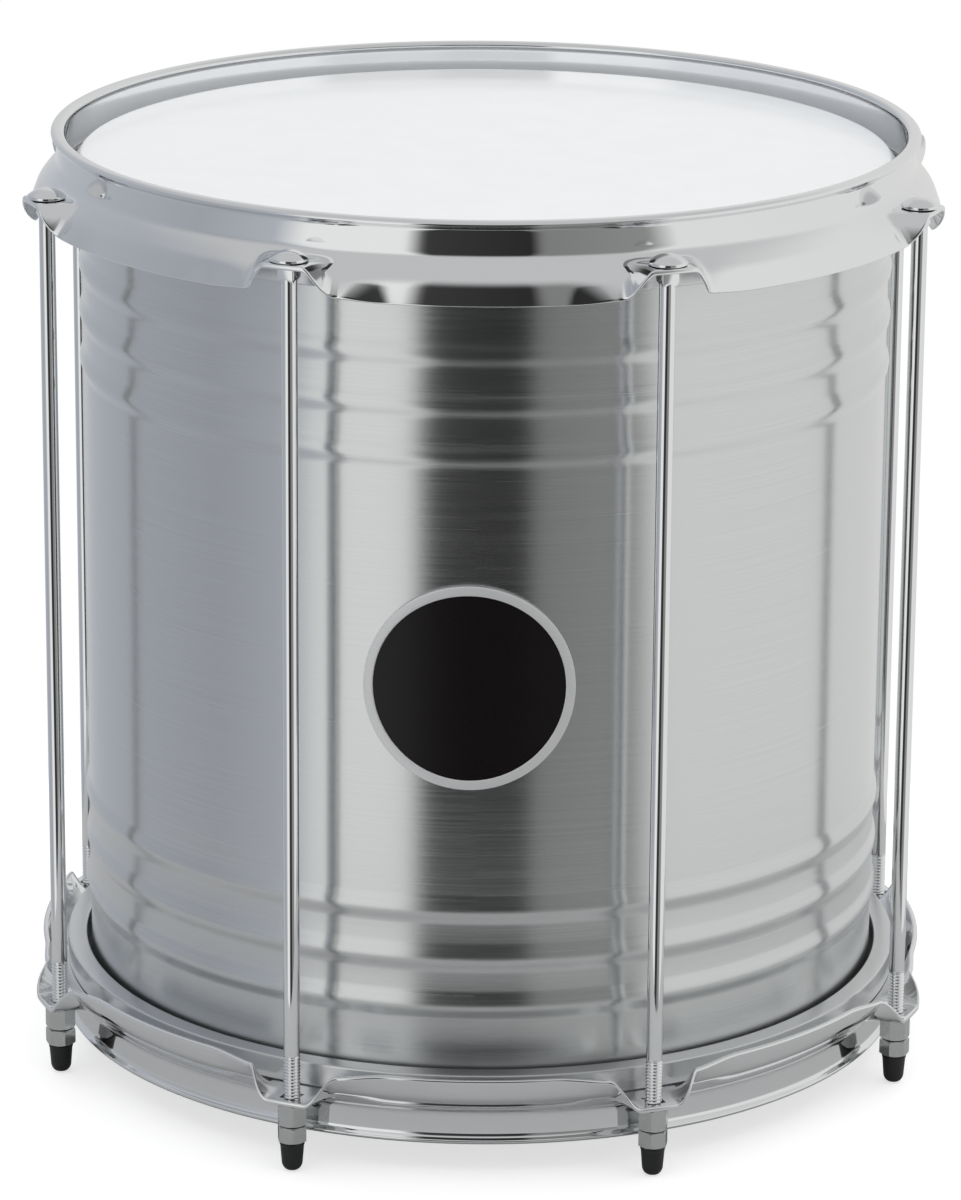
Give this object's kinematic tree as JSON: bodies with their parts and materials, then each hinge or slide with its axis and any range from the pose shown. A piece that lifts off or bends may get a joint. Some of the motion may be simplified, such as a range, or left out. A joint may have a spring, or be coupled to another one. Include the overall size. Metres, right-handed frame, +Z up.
{
  "type": "repinique drum",
  "caption": "Double-headed aluminium repinique drum with chromed triple-flanged hoops, beaded shell and tension rods along the outside.",
  "frame": {"origin": "on the drum's axis, on the surface that the end caps stand on", "axes": "+Z up along the drum's axis towards the batter head, -Y towards the badge, +X to the right as seen from the front"},
  "size_m": [0.3422, 0.3422, 0.3566],
  "materials": {
    "shell_aluminium": "brushed round the shell, satin",
    "badge_enamel": "gloss black field inside a silver rim",
    "head_film": "smooth white film, gloss",
    "flesh_hoop_aluminium": "satin",
    "hoop_chrome": "polished",
    "rod_chrome": "polished",
    "nut_steel": "plated, satin",
    "cap_rubber": "satin black"
  },
  "bodies": {
    "drum": {"shell": "shell_aluminium", "badge": "badge_enamel", "batter_head": "head_film", "resonant_head": "head_film", "batter_flesh_hoop": "flesh_hoop_aluminium", "resonant_flesh_hoop": "flesh_hoop_aluminium", "batter_hoop": "hoop_chrome", "resonant_hoop": "hoop_chrome", "tension_rod_1": "rod_chrome", "tension_rod_2": "rod_chrome", "tension_rod_3": "rod_chrome", "tension_rod_4": "rod_chrome", "tension_rod_5": "rod_chrome", "tension_rod_6": "rod_chrome", "tension_rod_7": "rod_chrome", "tension_rod_8": "rod_chrome"},
    "cap_1": {"end_cap_1": "cap_rubber"},
    "cap_2": {"end_cap_2": "cap_rubber"},
    "cap_3": {"end_cap_3": "cap_rubber"},
    "cap_4": {"end_cap_4": "cap_rubber"},
    "cap_5": {"end_cap_5": "cap_rubber"},
    "cap_6": {"end_cap_6": "cap_rubber"},
    "cap_7": {"end_cap_7": "cap_rubber"},
    "cap_8": {"end_cap_8": "cap_rubber"},
    "nuts_1": {"tension_nut_1": "nut_steel", "lock_nut_1": "nut_steel"},
    "nuts_2": {"tension_nut_2": "nut_steel", "lock_nut_2": "nut_steel"},
    "nuts_3": {"tension_nut_3": "nut_steel", "lock_nut_3": "nut_steel"},
    "nuts_4": {"tension_nut_4": "nut_steel", "lock_nut_4": "nut_steel"},
    "nuts_5": {"tension_nut_5": "nut_steel", "lock_nut_5": "nut_steel"},
    "nuts_6": {"tension_nut_6": "nut_steel", "lock_nut_6": "nut_steel"},
    "nuts_7": {"tension_nut_7": "nut_steel", "lock_nut_7": "nut_steel"},
    "nuts_8": {"tension_nut_8": "nut_steel", "lock_nut_8": "nut_steel"}
  },
  "joints": [
    {"name": "cap_1_slide", "type": "slide", "parent": "drum", "child": "cap_1", "axis": [0, 0, -1], "range_m": [0, 0.004]},
    {"name": "cap_2_slide", "type": "slide", "parent": "drum", "child": "cap_2", "axis": [0, 0, -1], "range_m": [0, 0.004]},
    {"name": "cap_3_slide", "type": "slide", "parent": "drum", "child": "cap_3", "axis": [0, 0, -1], "range_m": [0, 0.004]},
    {"name": "cap_4_slide", "type": "slide", "parent": "drum", "child": "cap_4", "axis": [0, 0, -1], "range_m": [0, 0.004]},
    {"name": "cap_5_slide", "type": "slide", "parent": "drum", "child": "cap_5", "axis": [0, 0, -1], "range_m": [0, 0.004]},
    {"name": "cap_6_slide", "type": "slide", "parent": "drum", "child": "cap_6", "axis": [0, 0, -1], "range_m": [0, 0.004]},
    {"name": "cap_7_slide", "type": "slide", "parent": "drum", "child": "cap_7", "axis": [0, 0, -1], "range_m": [0, 0.004]},
    {"name": "cap_8_slide", "type": "slide", "parent": "drum", "child": "cap_8", "axis": [0, 0, -1], "range_m": [0, 0.004]},
    {"name": "nuts_1_spin", "type": "hinge", "parent": "cap_1", "child": "nuts_1", "pos_m": [0.06594, -0.15918, 0.02], "axis": [0, 0, -1], "range_deg": [0, 1080]},
    {"name": "nuts_2_spin", "type": "hinge", "parent": "cap_2", "child": "nuts_2", "pos_m": [0.15918, -0.06594, 0.02], "axis": [0, 0, -1], "range_deg": [0, 1080]},
    {"name": "nuts_3_spin", "type": "hinge", "parent": "cap_3", "child": "nuts_3", "pos_m": [0.15918, 0.06594, 0.02], "axis": [0, 0, -1], "range_deg": [0, 1080]},
    {"name": "nuts_4_spin", "type": "hinge", "parent": "cap_4", "child": "nuts_4", "pos_m": [0.06594, 0.15918, 0.02], "axis": [0, 0, -1], "range_deg": [0, 1080]},
    {"name": "nuts_5_spin", "type": "hinge", "parent": "cap_5", "child": "nuts_5", "pos_m": [-0.06594, 0.15918, 0.02], "axis": [0, 0, -1], "range_deg": [0, 1080]},
    {"name": "nuts_6_spin", "type": "hinge", "parent": "cap_6", "child": "nuts_6", "pos_m": [-0.15918, 0.06594, 0.02], "axis": [0, 0, -1], "range_deg": [0, 1080]},
    {"name": "nuts_7_spin", "type": "hinge", "parent": "cap_7", "child": "nuts_7", "pos_m": [-0.15918, -0.06594, 0.02], "axis": [0, 0, -1], "range_deg": [0, 1080]},
    {"name": "nuts_8_spin", "type": "hinge", "parent": "cap_8", "child": "nuts_8", "pos_m": [-0.06594, -0.15918, 0.02], "axis": [0, 0, -1], "range_deg": [0, 1080]}
  ],
  "couplings": [
    {"joint": "cap_1_slide", "follows": "nuts_1_spin", "m_per_rad": 0.00020213},
    {"joint": "cap_2_slide", "follows": "nuts_2_spin", "m_per_rad": 0.00020213},
    {"joint": "cap_3_slide", "follows": "nuts_3_spin", "m_per_rad": 0.00020213},
    {"joint": "cap_4_slide", "follows": "nuts_4_spin", "m_per_rad": 0.00020213},
    {"joint": "cap_5_slide", "follows": "nuts_5_spin", "m_per_rad": 0.00020213},
    {"joint": "cap_6_slide", "follows": "nuts_6_spin", "m_per_rad": 0.00020213},
    {"joint": "cap_7_slide", "follows": "nuts_7_spin", "m_per_rad": 0.00020213},
    {"joint": "cap_8_slide", "follows": "nuts_8_spin", "m_per_rad": 0.00020213}
  ]
}
